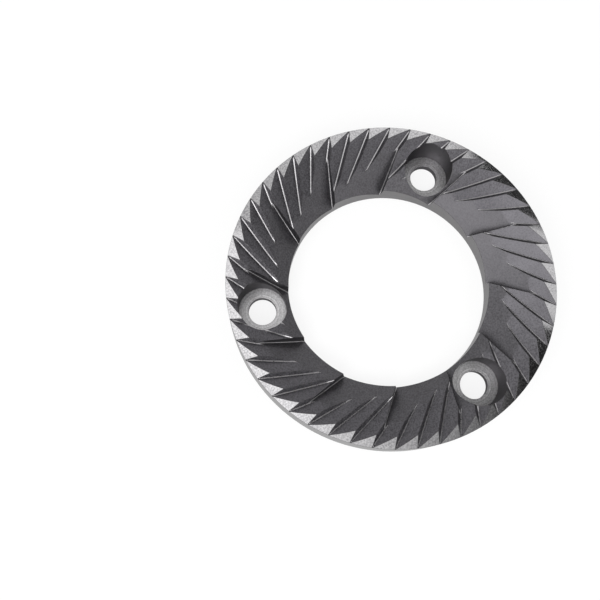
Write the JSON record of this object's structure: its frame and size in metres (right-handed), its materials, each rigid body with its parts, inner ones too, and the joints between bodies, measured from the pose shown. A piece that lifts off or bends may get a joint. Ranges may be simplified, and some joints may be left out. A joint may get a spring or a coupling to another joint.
{
  "type": "coffee grinder burr",
  "caption": "Flat coffee grinder burr: a steel ring with fine and coarse slanting teeth cut into one face, a wide bore and counterbored screw holes.",
  "frame": {"origin": "centre of the bore in the plane of the seat on the back", "axes": "+Z along the bore axis, from the back to the teeth; +X through the first screw hole"},
  "size_m": [0.064, 0.064, 0.0085],
  "materials": {
    "tool_steel": "matt grey flanks with bright ground lands"
  },
  "bodies": {
    "root": {"flat_burr": "tool_steel"}
  },
  "joints": []
}
